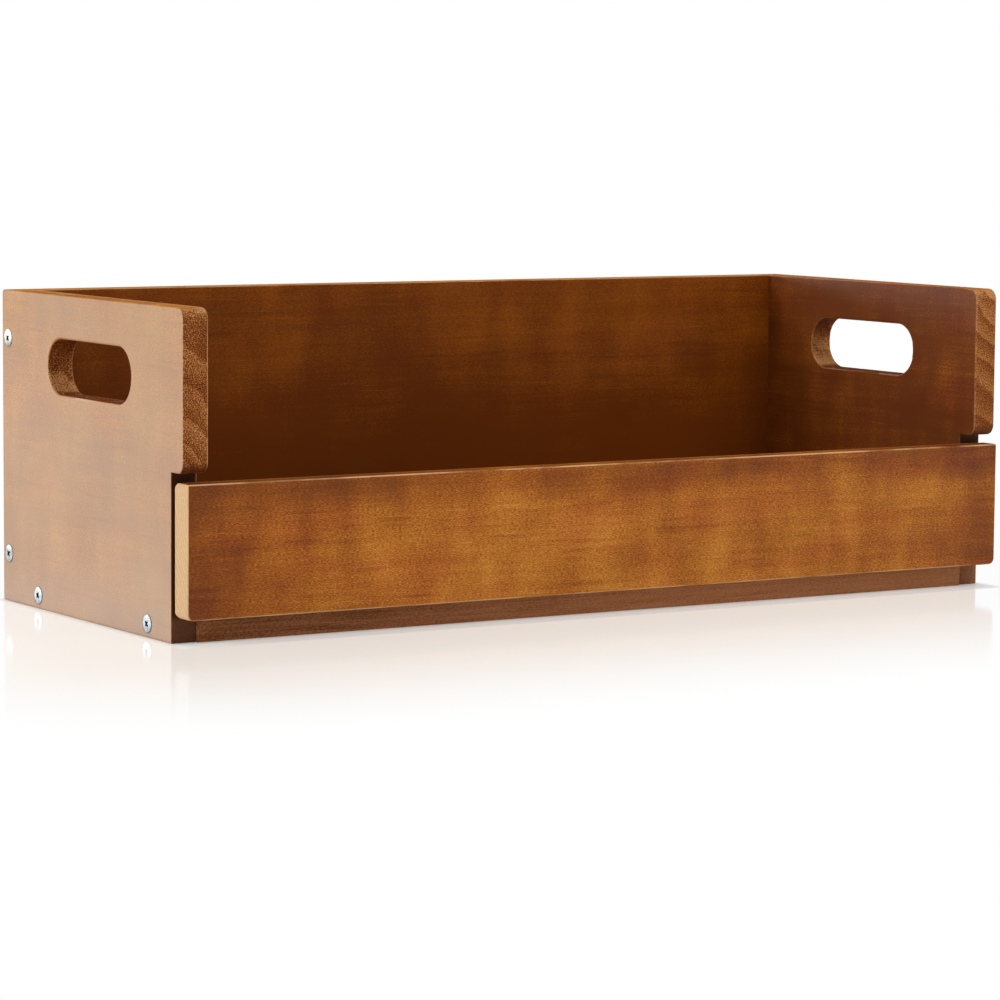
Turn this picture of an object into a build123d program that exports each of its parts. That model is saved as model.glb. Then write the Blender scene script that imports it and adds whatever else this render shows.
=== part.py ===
from build123d import *
import os

# An open wooden box that keeps disc cases standing upright. Two side boards with a stepped front
# outline and a hand slot hold a back panel and a bottom panel with screws. A front board, lower
# than the sides, stands off their stepped-back edges on hidden dowels.
#
# Millimetres. X runs across the box, +Y to its back, +Z up. The origin is on the floor, in the
# middle of the width and of the whole depth.

# Box: over the outer faces of the sides, and from the front of the sides to the back
box_width = 436.0
box_depth = 180.0
box_height = 143.0

# Boards
side_thickness = 12.0
back_thickness = 12.0
bottom_thickness = 12.0
arris_ease = 0.8

# Side outline: the upper half is a nose that reaches forward over the front board
step_depth = 11.0
step_height = 73.0
nose_radius = 5.0
back_corner_radius = 1.6

# Hand slot, centred on the side's depth; slot_drop is from the side's top to the slot's middle
slot_length = 82.0
slot_height = 25.0
slot_drop = 32.0
slot_ease = 1.2

# Front board: well rounded along its back, eased along its front, rounded off at its lower ends
front_thickness = 12.0
front_height = 58.0
front_lift = 11.0
front_end_inset = 0.4
front_stand_off = 2.0
front_back_radius = 3.2
front_arris_radius = 1.2
front_foot_radius = 3.0

# Countersunk screws: how deep the head's cone goes, and how far the crown stands proud of the side
screw_diameter = 4.0
screw_length = 35.0
screw_tip_length = 2.0
head_diameter = 8.2
head_depth = 2.4
head_proud = 0.3
head_crown_diameter = 6.6

# Screw places: from each end of the back panel's height and of the bottom panel's depth
back_screw_inset = 22.0
bottom_screw_inset = 25.0

# Dowels: length in the side, and in the front board
dowel_diameter = 6.0
dowel_in_side = 20.0
dowel_in_front = 8.0
dowel_inset = 15.0

# Room round a screw or dowel in its hole, and past its end
hole_clearance = 0.1
hole_end_room = 0.8

# Places that follow from the sizes
front_proud = front_thickness + front_stand_off - step_depth
back_y = (box_depth + front_proud) / 2
nose_y = back_y - box_depth
step_y = nose_y + step_depth
front_board_back_y = step_y - front_stand_off
front_board_y = front_board_back_y - front_thickness
back_panel_y = back_y - back_thickness
outer_x = box_width / 2
inner_x = outer_x - side_thickness
front_top = front_lift + front_height

# Screws and dowels as places on the side's face: name, y, z
screw_places = {
    "back_upper": (back_y - back_thickness / 2, box_height - back_screw_inset),
    "back_lower": (back_y - back_thickness / 2, back_screw_inset),
    "bottom_rear": (back_panel_y - bottom_screw_inset, bottom_thickness / 2),
    "bottom_front": (front_board_back_y + bottom_screw_inset, bottom_thickness / 2),
}
dowel_heights = {
    "upper": front_top - dowel_inset,
    "lower": front_lift + dowel_inset,
}
hands = {"left": -1, "right": 1}


def block(x_span, y_span, z_span):
    """A plain board between two places on each axis."""
    size = [high - low for low, high in (x_span, y_span, z_span)]
    middle = [(high + low) / 2 for low, high in (x_span, y_span, z_span)]
    return Pos(*middle) * Box(*size)


def bore(start, direction, diameter, depth):
    """A round cutter that starts at a point and runs along a direction."""
    mouth = Plane(origin=start, z_dir=direction)
    return extrude(mouth * Circle(diameter / 2), amount=depth)


def screw_bore(hand, y, z):
    """The hole of one screw, from the side's outer face inwards, with the cone its head sits in."""
    start, inwards = (hand * outer_x, y, z), (-hand, 0, 0)
    shank_radius = screw_diameter / 2 + hole_clearance
    head_radius = head_diameter / 2 + hole_clearance
    hole = bore(start, inwards, 2 * shank_radius, screw_length + hole_end_room)
    from_mouth = (Align.CENTER, Align.CENTER, Align.MIN)
    seat = Cone(head_radius, shank_radius, head_depth, align=from_mouth)
    return hole + Plane(origin=start, z_dir=inwards) * seat


def dowel_x(hand):
    """The dowels run in the middle of the side's thickness."""
    return hand * (outer_x - side_thickness / 2)


def dowel_bore(hand, z):
    """The hole of one dowel, through the stand-off from the side into the front board."""
    start_y = front_board_back_y - dowel_in_front - hole_end_room
    depth = dowel_in_front + front_stand_off + dowel_in_side + 2 * hole_end_room
    return bore((dowel_x(hand), start_y, z), (0, 1, 0), dowel_diameter + 2 * hole_clearance, depth)


def make_side(hand):
    """A side board: stepped outline with a rounded nose, hand slot, eased edges and its holes."""
    face = Plane(origin=(hand * outer_x, 0, 0), x_dir=(0, 1, 0), z_dir=(1, 0, 0))
    corners = [
        (back_y, 0),
        (back_y, box_height),
        (nose_y, box_height),
        (nose_y, step_height),
        (step_y, step_height),
        (step_y, 0),
    ]
    outline = make_face(Polyline(*corners, close=True))
    outline = fillet(outline.vertices().group_by(Axis.X)[0], nose_radius)
    back_top = outline.vertices().group_by(Axis.X)[-1].sort_by(Axis.Y)[-1]
    outline = fillet(back_top, back_corner_radius)
    board = extrude(face * outline, amount=-hand * side_thickness)
    outline_edges = board.edges().filter_by(GeomType.LINE).filter_by(Axis.X, reverse=True)
    outline_edges += board.edges().filter_by(GeomType.CIRCLE)
    board = chamfer(outline_edges, arris_ease)

    slot_middle = ((nose_y + back_y) / 2, box_height - slot_drop)
    slot = SlotOverall(slot_length, slot_height)
    cutter = extrude(face * Pos(*slot_middle) * slot, amount=-hand * side_thickness)
    old_edges = board.edges()
    board = board - cutter
    slot_rims = (board.edges() - old_edges).filter_by(Axis.X, reverse=True)
    board = chamfer(slot_rims, slot_ease)

    for y, z in screw_places.values():
        board = board - screw_bore(hand, y, z)
    for z in dowel_heights.values():
        board = board - dowel_bore(hand, z)
    return board


def make_back():
    """The back panel stands between the sides, full height."""
    board = block((-inner_x, inner_x), (back_panel_y, back_y), (0, box_height))
    long_edges = board.edges().filter_by(Axis.X)
    back_top = long_edges.group_by(Axis.Y)[-1].sort_by(Axis.Z)[-1]
    other_edges = [edge for edge in long_edges if edge != back_top]
    board = fillet(other_edges, arris_ease)
    back_top = board.edges().filter_by(Axis.X).group_by(Axis.Y)[-1].sort_by(Axis.Z)[-1]
    board = fillet(back_top, back_corner_radius)
    return drill_for_screws(board, ("back_upper", "back_lower"))


def make_bottom():
    """The bottom panel lies between the sides, from the back panel to the front board."""
    board = block((-inner_x, inner_x), (front_board_back_y, back_panel_y), (0, bottom_thickness))
    front_edges = board.edges().filter_by(Axis.X).group_by(Axis.Y)[0]
    board = fillet(front_edges, arris_ease)
    return drill_for_screws(board, ("bottom_rear", "bottom_front"))


def drill_for_screws(board, names):
    """Screw holes from both sides into a panel's ends."""
    for hand in hands.values():
        for name in names:
            board = board - screw_bore(hand, *screw_places[name])
    return board


def make_front():
    """The front board: its section runs across the box, and its front view cuts off the lower ends."""
    half_length = outer_x - front_end_inset
    middle_y = (front_board_y + front_board_back_y) / 2
    middle_z = (front_lift + front_top) / 2
    section = Rectangle(front_thickness, front_height)
    section = fillet(section.vertices().group_by(Axis.X)[-1], front_back_radius)
    section = fillet(section.vertices().group_by(Axis.X)[0], front_arris_radius)
    across = Plane(origin=(-half_length, middle_y, middle_z), x_dir=(0, 1, 0), z_dir=(1, 0, 0))
    board = extrude(across * section, amount=2 * half_length)

    front_view = Rectangle(2 * half_length, front_height)
    front_view = fillet(front_view.vertices().group_by(Axis.Y)[0], front_foot_radius)
    facing = Plane(origin=(0, front_board_back_y, middle_z), x_dir=(1, 0, 0), z_dir=(0, -1, 0))
    board = board & extrude(facing * front_view, amount=front_thickness)
    for hand in hands.values():
        for z in dowel_heights.values():
            board = board - dowel_bore(hand, z)
    return board


def make_screw():
    """A countersunk screw, head up, with the rim of its head on the XY plane."""
    profile = Polyline(
        (0, head_proud),
        (head_crown_diameter / 2, head_proud),
        (head_diameter / 2, 0),
        (screw_diameter / 2, -head_depth),
        (screw_diameter / 2, screw_tip_length - screw_length),
        (0, -screw_length),
        close=True,
    )
    return revolve(Plane.XZ * make_face(profile), Axis.Z)


def make_dowel():
    """A dowel along Y, its front end in the board and its back end in the side."""
    length = dowel_in_front + front_stand_off + dowel_in_side
    start = Plane(origin=(0, front_board_back_y - dowel_in_front, 0), z_dir=(0, 1, 0))
    return extrude(start * Circle(dowel_diameter / 2), amount=length)


def make_pieces():
    """Every piece of the box by name, in its place."""
    pieces = {
        "back_panel": make_back(),
        "bottom_panel": make_bottom(),
        "front_board": make_front(),
    }
    screw = make_screw()
    dowel = make_dowel()
    for hand_name, hand in hands.items():
        pieces[f"{hand_name}_side"] = make_side(hand)
        for place, (y, z) in screw_places.items():
            seat = Plane(origin=(hand * outer_x, y, z), x_dir=(0, 1, 0), z_dir=(hand, 0, 0))
            pieces[f"{hand_name}_{place}_screw"] = seat * screw
        for place, z in dowel_heights.items():
            pieces[f"{hand_name}_{place}_dowel"] = Pos(dowel_x(hand), 0, z) * dowel
    return pieces


os.makedirs("parts", exist_ok=True)
for name, piece in make_pieces().items():
    export_step(piece, f"parts/{name}.step")
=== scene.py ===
import math
from collections import namedtuple

import bmesh
import bpy
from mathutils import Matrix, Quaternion, Vector


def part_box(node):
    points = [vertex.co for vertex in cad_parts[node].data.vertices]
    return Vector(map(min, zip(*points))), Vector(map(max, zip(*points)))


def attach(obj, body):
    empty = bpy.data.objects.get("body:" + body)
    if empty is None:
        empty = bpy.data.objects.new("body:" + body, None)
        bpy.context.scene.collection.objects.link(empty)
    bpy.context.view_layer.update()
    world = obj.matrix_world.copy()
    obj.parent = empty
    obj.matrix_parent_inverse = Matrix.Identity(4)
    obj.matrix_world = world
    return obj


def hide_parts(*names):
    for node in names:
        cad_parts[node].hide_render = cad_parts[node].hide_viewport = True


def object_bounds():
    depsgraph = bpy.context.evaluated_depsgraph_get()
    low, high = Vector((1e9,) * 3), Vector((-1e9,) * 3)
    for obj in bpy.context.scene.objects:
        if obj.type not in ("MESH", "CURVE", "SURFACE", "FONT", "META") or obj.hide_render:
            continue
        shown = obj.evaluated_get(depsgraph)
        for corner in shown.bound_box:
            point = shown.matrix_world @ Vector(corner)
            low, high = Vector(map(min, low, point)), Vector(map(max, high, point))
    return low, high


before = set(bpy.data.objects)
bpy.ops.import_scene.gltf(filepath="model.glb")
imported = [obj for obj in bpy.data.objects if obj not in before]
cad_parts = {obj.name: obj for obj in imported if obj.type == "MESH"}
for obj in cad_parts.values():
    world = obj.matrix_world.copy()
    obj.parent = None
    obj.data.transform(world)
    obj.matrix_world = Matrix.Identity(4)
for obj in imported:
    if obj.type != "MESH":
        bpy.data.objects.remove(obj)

bl_info = {
    "name": "Disc box",
    "version": (1, 0, 0),
    "blender": (4, 5, 0),
    "location": "3D View > Sidebar > Disc Box",
    "description": "Boards, screws, dowels and a studio for an open wooden disc box",
    "category": "Object",
}

# Axes, and what the frame gives: the corners of every solid, in metres
X, Y, Z = range(3)
CAD_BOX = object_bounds()
SOLIDS = {node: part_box(node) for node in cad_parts}
SCREWS = sorted(node for node in SOLIDS if node.endswith("_screw"))
DOWELS = sorted(node for node in SOLIDS if node.endswith("_dowel"))
BODY = "root"

# Boards: the axis of the fibres, the axis of the thickness, the way to the inside along it, where
# the heart of the tree lay across the fibres, in millimetres, how many times farther out each growth
# ring lies than the last, and how far the figure is shifted, in millimetres. The shares are of the
# wood's figure, of tone and specks in the end grain, of painted light on the top edge, of wear on the
# edges and of a painted highlight on the top edge's inner half, of another tint on the front edge,
# which low down is painted shade on the left side and painted light on the right side, of fawn on
# the outer face, a lighter stain with a painted sheen in it, and of gloss.
Board = namedtuple("Board", (
    "along thick inward heart growth shift "
    "figure_share end_share speck_share top_share wear_share front_share fawn_share gloss_share"))
BOARDS = {
    "left_side": Board(
        Y, X, 1, (-226, 69), 1.448, 0,
        figure_share=1.10, end_share=0.36, speck_share=1.5, top_share=0.10, wear_share=0.50,
        front_share=0.45, fawn_share=0.58, gloss_share=0.80),
    "right_side": Board(
        Y, X, -1, (250, 170), 1.154, 0,
        figure_share=1.10, end_share=0.46, speck_share=0.8, top_share=0.10, wear_share=0.15,
        front_share=0.55, fawn_share=0.58, gloss_share=0.80),
    "back_panel": Board(
        X, Y, -1, (30, -120), 1.05, 0,
        figure_share=0.60, end_share=0.40, speck_share=1.0, top_share=0.14, wear_share=0.50,
        front_share=0.0, fawn_share=0.0, gloss_share=0.14),
    "bottom_panel": Board(
        X, Z, 1, (-20, -90), 1.05, 0,
        figure_share=0.60, end_share=0.62, speck_share=1.0, top_share=0.0, wear_share=0.40,
        front_share=0.75, fawn_share=0.0, gloss_share=0.14),
    "front_board": Board(
        X, Y, 1, (-236, 115), 1.0135, 527,
        figure_share=1.00, end_share=0.40, speck_share=1.0, top_share=0.0, wear_share=0.80,
        front_share=0.0, fawn_share=0.0, gloss_share=0.15),
}

# Marks: how far each runs along the fibres and how wide it is across them, in millimetres, the detail
# of its noise, its share in the tone of the surface, and how rough its noise is
Mark = namedtuple("Mark", "run rise detail share roughness", defaults=(1.0, 0.5))
FIGURE = {
    "cloud": Mark(60, 28, 1, 0.50),
    "flame": Mark(15, 34, 1, 0.45),
    "band": Mark(190, 7, 2, 0.22),
    "line": Mark(45, 1.3, 3, 0.26),
}
FLECK = Mark(1.25, 0.34, 1, 1.40)
SPECK = Mark(0.55, 0.55, 1, 0.60, roughness=0.6)
END_CLOUD_SHARE = 0.40
FAWN_AND_SHEEN_CLOUD = Mark(70, 45, 1, 0.50)
DOWEL_LINE = Mark(14, 0.5, 3)
DOWEL_FLECK = Mark(1.8, 0.2, 1, 0.50)
ZINC_CLOUD = Mark(2.2, 2.2, 2)
ZINC_GRIT = Mark(0.12, 0.12, 1)

# Growth rings: the share of each that is its dark late wood, its share in the tone of the end grain,
# and the mark that sets the rings off their circles, with its share counted in rings
LATE_WOOD = 0.15
RING_SHARE = 0.13
RING_WOBBLE = Mark(40, 16, 2, 1.20)

# Patches: as marks, but each begins where its noise reaches one value and is whole at another
Patch = namedtuple("Patch", "run rise detail begins whole roughness", defaults=(0.5,))
STREAK = Patch(48, 3.2, 2, 0.07, 0.24)
HAIR = Patch(24, 0.55, 0, 0.18, 0.28)
RUDDY = Patch(32, 20, 1, -0.08, 0.20)
RUBBED = Patch(26, 26, 3, -0.22, 0.10)
CHIP = Patch(4, 1.0, 2, 0.10, 0.18)
RUDDY_SHARE = 0.7

# Where one surface of a board passes into the next, by the cosine between its normal and an axis
FACE_BAND = (0.3, 0.7)
TOP_BAND = (0.3, 0.8)
LEDGE_BAND = (0.5, 0.9)
FRONT_BAND = (0.4, 0.8)
END_BAND = (0.25, 0.55)
ARRIS_BANDS = ((0.12, 0.45), (0.88, 0.99))

# Where one place of a board passes into the next, in millimetres: from the middle of the thickness,
# down from the top, up the sides' front edges, round the foot of the front board and up the sides
MIDDLE_BAND = (-1, 1)
CREST_BAND = (-4, -2)
STEP_BAND = (70, 78)
FOOT_BAND = (-2, 2)
THIN_BAND = (20, 165)

# Tone of a plain face, from 0, dark, to 1, bright, and how much lighter or darker some places are
PLAIN_TONE = 0.5
HAIR_LIGHT = 0.10
STREAK_DARK = 0.14
# The inner faces are darker, partly as a deeper stain and partly as painted shade inside the box
INSIDE_STAIN_AND_SHADE = 0.36
EDGE_DARK = 0.15
LEDGE_DARK = 0.30
SIDE_DARK = 0.10
# Painted shade on the sides' low front end grain, behind and under the front board; then painted light and
# shade on all other end grain, lighter as it faces up and darker as it faces down
LOW_END_SHADE = 0.25
END_UPRIGHT_LIGHT = 0.35
FLECK_LEFT_IN_DARK = 0.7

# Shades of whole boards: how much darker, and between which places, in millimetres. Those of a half or
# the left run across the box from its middle, that of the back's foot begins below the back's top and
# is whole above its foot, and the others count from the end or top that they name. Those of the
# bottom's left end and the back's foot are painted shade.
Shade = namedtuple("Shade", "share begins whole")
FRONT_ENDS = Shade(0.22, 62, 4)
FRONT_RIGHT_END = Shade(0.12, 45, 8)
FRONT_TOP = Shade(0.28, 20, 3)
FRONT_LEFT_HALF = Shade(0.11, -10, -150)
FRONT_LIGHTER = 0.03
FRONT_MOST = 0.34
BOTTOM_LEFT_SHADE = Shade(0.55, 60, -230)
BACK_FOOT_SHADE = Shade(0.26, 10, 40)

# Shares in which another tint covers the stain
PALE_END_SHARE = 0.88
PALE_RING_SHARE = 0.10
PALE_SPECK_SHARE = 0.30
FRONT_PLAIN_SHARE = 0.95
FRONT_FLECK_SHARE = 1.5
FRONT_LINE_SHARE = 1.2
# Share of the painted shade in the gap behind the front board
GAP_SHADE_SHARE = 0.98
# Painted highlight along the inner half of the top edges
LIP_HIGHLIGHT = 0.7
CHIP_WEAR = 0.4

# Lacquer: its roughness and what lines, clouds and edges add to it, the relief of flecks and lines
# beside that of end grain, and the shares in which raw wood shows on edges, inside and on the sides
LACQUER_ROUGH = 0.42
LINE_ROUGH = 0.10
CLOUD_ROUGH = 0.08
EDGE_ROUGH = 0.2
RAW_ROUGH = 0.8
LACQUER_IOR = 1.5
FLECK_RELIEF = 0.5
LINE_RELIEF = 0.35
RAW_EDGE = 0.9
RAW_INSIDE = 0.6
RAW_SIDE = 0.50

# Roughness of the dowels and of the plating, and what flecks, clouds and grit add to it
DOWEL_ROUGH = 0.7
DOWEL_FLECK_ROUGH = 0.2
ZINC_ROUGH = 0.26
ZINC_CLOUD_ROUGH = 0.2
ZINC_GRIT_ROUGH = 0.08

# Painted shade on a screw, in millimetres out of the side's face: where it begins in the countersink,
# and where it ends on the head's rim
HEAD_SHADE_FLOOR = (-2.6, -2.2)
HEAD_SHADE_RIM = (-0.02, 0.08)

# Bumps: how strong each relief shows, and its depth in metres
WOOD_BUMP = (0.22, 0.00012)
DOWEL_BUMP = (0.3, 0.0001)
ZINC_BUMP = (0.12, 0.00003)

# Working values: the millimetres in a metre, how near is the same place, in metres, the angle up to
# which shading is smooth, and how fine the rounds are
MILLIMETRES = 1000
CLOSE = 1e-5
SMOOTH_ANGLE = math.radians(40)
ARC_STEPS = 10
ARRIS_STEPS = 3
SLOT_SIDES = 8 * ARC_STEPS
SCREW_SIDES = 6 * ARC_STEPS
DOWEL_SIDES = 4 * ARC_STEPS
THREAD_STEPS = 3 * ARC_STEPS
FLOOR_SIDES = 96


def length(name, description, default):
    """A size in metres that a user may change."""
    return bpy.props.FloatProperty(
        name=name, description=description, default=default, min=0.0, precision=5, unit="LENGTH")


def angle(name, description, default):
    """An angle that a user may change; its default is given in degrees."""
    return bpy.props.FloatProperty(
        name=name, description=description, default=math.radians(default), unit="ROTATION")


def share(name, description, default):
    """A share from 0 to 1 that a user may change."""
    return bpy.props.FloatProperty(
        name=name, description=description, default=default, min=0.0, max=1.0, subtype="FACTOR")


def number(name, description, default):
    """A plain number that a user may change."""
    return bpy.props.FloatProperty(name=name, description=description, default=default, min=0.0)


def colour(name, description, default):
    """A linear colour that a user may change."""
    return bpy.props.FloatVectorProperty(
        name=name, description=description, default=default, min=0.0, max=1.0, subtype="COLOR")


class BoardShape(bpy.types.PropertyGroup):
    """Sizes of the boards that their overall boxes don't give."""

    step_height: length("Step height", "Height of the step in the side's front edge", 0.073)
    stand_off: length("Stand-off", "Gap between the side's lower front edge and the front board", 0.002)
    nose_radius: length("Nose radius", "Rounding of the side's forward corners", 0.005)
    back_corner: length("Back corner", "Rounding of the upper back corner", 0.0016)
    slot_length: length("Slot length", "Length of the hand slot", 0.082)
    slot_height: length("Slot height", "Height of the hand slot", 0.025)
    slot_drop: length("Slot drop", "From the side's top to the slot's middle", 0.032)
    slot_rim: length("Slot rim", "Rounding of the slot's rims", 0.0010)
    arris: length("Arris", "Rounding of the boards' edges", 0.0006)
    inner_arris: length("Inner arris", "Rounding of the sides' edges towards the inside", 0.0009)
    front_back: length("Front board, back edges", "Rounding along the front board's back", 0.0032)
    front_arris: length("Front board, other edges", "Rounding of the front board's other edges", 0.0009)
    front_foot: length("Front board, lower ends", "Rounding of the front board's lower corners", 0.003)


class ScrewShape(bpy.types.PropertyGroup):
    """Sizes of a countersunk screw that its overall box doesn't give."""

    head_proud: length("Head proud", "How far the head's crown stands out of the side", 0.0003)
    head_depth: length("Head depth", "Depth of the head's cone", 0.0024)
    seat_room: length("Seat room", "Gap round the head in its countersink", 0.0005)
    core_diameter: length("Core", "Diameter of the shank under the thread", 0.0027)
    thread_diameter: length("Thread", "Outer diameter of the thread", 0.0039)
    thread_pitch: length("Pitch", "Rise of the thread in one turn", 0.0018)
    tip_length: length("Tip", "Length of the point", 0.004)
    recess_length: length("Recess length", "Length of each arm pair of the cross recess", 0.0050)
    recess_width: length("Recess width", "Width of the arms of the cross recess", 0.0014)
    recess_depth: length("Recess depth", "Depth of the cross recess", 0.0018)


class WoodStain(bpy.types.PropertyGroup):
    """Colours of the stained and lacquered wood; some of them are painted light and shade, as their comments
    say.
    """

    dark: colour("Dark", "Stain in the darkest grain", (0.125, 0.028, 0.0025))
    brown: colour("Brown", "Stain in the darker grain", (0.250, 0.066, 0.0045))
    middle: colour("Middle", "Stain in the plain grain", (0.370, 0.118, 0.0100))
    golden: colour("Golden", "Stain in the bright grain", (0.470, 0.180, 0.0200))
    bright: colour("Bright", "Stain in the brightest grain", (0.590, 0.262, 0.0480))
    ruddy: colour("Ruddy", "Filter where the stain is redder", (0.92, 0.74, 0.95))
    # This colour also paints a highlight along the inner half of the top edges, beside the real wear
    worn_and_highlight: colour("Worn", "Wood that shows where an edge is rubbed through", (0.680, 0.410, 0.1900))
    end_dark: colour("End grain, dark", "Pores of the end grain", (0.095, 0.018, 0.0015))
    end_brown: colour("End grain, brown", "Body of the end grain", (0.255, 0.079, 0.0140))
    end_light: colour("End grain, light", "Light specks of the end grain", (0.480, 0.225, 0.0850))
    pale_end: colour("Pale end", "Barely stained ends of the front board", (0.600, 0.405, 0.2250))
    # Painted shade: this dull colour of the left side's low front edge stands in for the shade behind the
    # front board
    low_front_shade: colour("Dull", "Dulled lower front edge of the left side", (0.150, 0.082, 0.0500))
    # Low down on the right side this lighter tint is painted light, the lit copy of the left side's painted
    # shade
    sole: colour("Sole", "Front edges of the bottom and, low down, of the right side", (0.500, 0.225, 0.1050))
    # Painted shade: this near-black colour on the sides' front edges behind the front board stands in for the
    # shade there
    gap: colour("Gap", "Stain that has gathered in the gap behind the front board", (0.045, 0.012, 0.0030))
    # Fawn: a lighter stain with a painted sheen in it
    fawn: colour("Fawn", "Lighter stain of the sides' outer faces", (0.330, 0.196, 0.0790))
    dowel_dark: colour("Dowel, dark", "Dark lines of the dowels", (0.46, 0.27, 0.13))
    dowel_plain: colour("Dowel, plain", "Body of the dowels", (0.60, 0.39, 0.21))
    dowel_light: colour("Dowel, light", "Light lines of the dowels", (0.70, 0.50, 0.30))


class Plating(bpy.types.PropertyGroup):
    """Colours of the screws' zinc plating, and of the painted shade in its recess and round its rim."""

    dark: colour("Dark", "Dark clouds of the plating", (0.29, 0.29, 0.29))
    plain: colour("Plain", "Body of the plating", (0.40, 0.40, 0.39))
    bright: colour("Bright", "Bright clouds of the plating", (0.53, 0.53, 0.51))
    # Painted shade: this near-black colour in the recess and round the rim stands in for the shade there
    head_shade: colour("Grime", "Dirt in the recess and round the rim", (0.015, 0.015, 0.015))
    head_shade_share: share("Grime share", "How far the dirt covers the plating", 0.97)


class Studio(bpy.types.PropertyGroup):
    """Camera, lamps and floor."""

    azimuth: angle("Azimuth", "Camera's turn round the box, from its front to its left", 32.03)
    elevation: angle("Elevation", "Camera's height above the horizon", 5.854)
    roll: angle("Roll", "Camera's turn about its own line of sight", 0.451)
    distance: length("Distance", "From the camera to the point it looks at", 1.8038)
    lens: bpy.props.FloatProperty(
        name="Lens", description="Focal length in millimetres", default=138.17, unit="CAMERA")
    aim: bpy.props.FloatVectorProperty(
        name="Aim", description="Point that the camera looks at", default=(-0.00409, 0.00256, 0.04395),
        precision=5, subtype="TRANSLATION", unit="LENGTH")
    ambient: number("Ambient", "World light on the object", 0.16)
    floor_radius: length("Floor radius", "Floor's radius", 3.0)
    floor_mirror: colour("Floor mirror", "Share of each colour that the floor mirrors", (0.23, 0.30, 0.36))
    floor_tint: colour("Floor tint", "Colour of the matt floor", (0.90, 0.90, 0.90))
    floor_matt: share("Floor matt", "Share of matt floor, with its shadows, in what the camera sees", 0.06)
    floor_contact: share("Contact", "Share of matt floor that is added where the box touches it", 0.60)
    contact_reach: length("Contact reach", "How far from the box the added matt floor fades out", 0.005)
    floor_rough: share("Floor roughness", "Roughness of the floor's mirror", 0.10)
    floor_near: length("Near floor", "How far from the box the floor still mirrors it", 0.23)


class Wire:
    """A value on its way through a material. Arithmetic on wires adds Math nodes."""

    def __init__(self, web, socket):
        self.web = web
        self.socket = socket

    def math(self, operation, *others):
        return self.web.add("ShaderNodeMath", {"operation": operation}, [self, *others])

    def __add__(self, other):
        return self.math("ADD", other)

    def __sub__(self, other):
        return self.math("SUBTRACT", other)

    def __rsub__(self, other):
        return self.web.add("ShaderNodeMath", {"operation": "SUBTRACT"}, [other, self])

    def __mul__(self, other):
        return self.math("MULTIPLY", other)

    __radd__ = __add__
    __rmul__ = __mul__


class Web:
    """The node tree of one material or world, with short ways to add nodes."""

    def __init__(self, owner):
        owner.use_nodes = True
        self.tree = owner.node_tree
        self.tree.nodes.clear()

    def add(self, kind, settings=None, inputs=(), output=0):
        """A node of a kind, with its settings, then the values or wires of its sockets."""
        node = self.tree.nodes.new(kind)
        for name, value in (settings or {}).items():
            if name == "stops":
                self.set_stops(node.color_ramp, value)
            else:
                setattr(node, name, value)
        pairs = inputs.items() if isinstance(inputs, dict) else enumerate(inputs)
        for name, value in pairs:
            if isinstance(value, Wire):
                self.tree.links.new(value.socket, node.inputs[name])
            else:
                node.inputs[name].default_value = value
        return Wire(self, node.outputs[output]) if node.outputs else node

    @staticmethod
    def set_stops(ramp, stops):
        """Colour ramp stops as pairs of place and colour."""
        while len(ramp.elements) < len(stops):
            ramp.elements.new(0.5)
        for element, (place, tint) in zip(ramp.elements, stops):
            element.position = place
            element.color = (*tint, 1.0)

    def between(self, value, low, high):
        """0 below low, 1 above high, smooth in between."""
        smooth_step = {"interpolation_type": "SMOOTHSTEP"}
        return self.add("ShaderNodeMapRange", smooth_step, [value, low, high, 0.0, 1.0])

    def ramp(self, stops, value):
        """A colour that runs through stops, given as pairs of place and colour."""
        return self.add("ShaderNodeValToRGB", {"stops": stops}, [value])

    def bump(self, strength, distance, relief):
        """A normal that a relief bends."""
        return self.add("ShaderNodeBump", {}, {"Strength": strength, "Distance": distance, "Height": relief})

    def vector(self, operation, *inputs):
        """Arithmetic on vectors; the length of one comes as a number."""
        output = "Value" if operation == "LENGTH" else "Vector"
        return self.add("ShaderNodeVectorMath", {"operation": operation}, inputs, output)

    def scaled(self, vector, factors):
        """A vector with each part times its factor."""
        return self.vector("MULTIPLY", vector, factors)

    def noise(self, vector, detail, roughness):
        """Noise of about one unit's size, from -0.5 to 0.5."""
        settings = {"Vector": vector, "Scale": 1.0, "Detail": detail, "Roughness": roughness}
        return self.add("ShaderNodeTexNoise", {}, settings) - 0.5

    def mix(self, factor, first, second, blend="MIX"):
        """Two colours mixed."""
        inputs = {0: factor}
        for place, tint in ((6, first), (7, second)):
            inputs[place] = tint if isinstance(tint, Wire) else (*tint, 1.0)
        return self.add("ShaderNodeMix", {"data_type": "RGBA", "blend_type": blend}, inputs, output=2)

    def part(self, vector, axis):
        """One part of a vector."""
        return self.add("ShaderNodeSeparateXYZ", {}, [vector], output=axis)


def deselect_all():
    """Nothing selected, as an operator acts on all that is."""
    bpy.ops.object.select_all(action="DESELECT")


def name_piece(name):
    """Names the new active object and its mesh, with its place moved into the mesh."""
    bpy.ops.object.transform_apply()
    piece = bpy.context.object
    piece.name = name
    piece.data.name = name
    return piece


def activate(piece):
    """Selects one piece alone."""
    deselect_all()
    piece.select_set(True)
    bpy.context.view_layer.objects.active = piece


def add_block(name, low, high):
    """A block between two corners."""
    deselect_all()
    low, high = Vector(low), Vector(high)
    bpy.ops.mesh.primitive_cube_add(size=1, location=(low + high) / 2, scale=high - low)
    return name_piece(name)


def copy_piece(piece, name, offset=(0, 0, 0), turn=(0, 0, 0)):
    """A copy with its own mesh, turned about the origin and moved."""
    activate(piece)
    bpy.ops.object.duplicate()
    bpy.context.object.rotation_euler = turn
    bpy.context.object.location = offset
    return name_piece(name)


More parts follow.
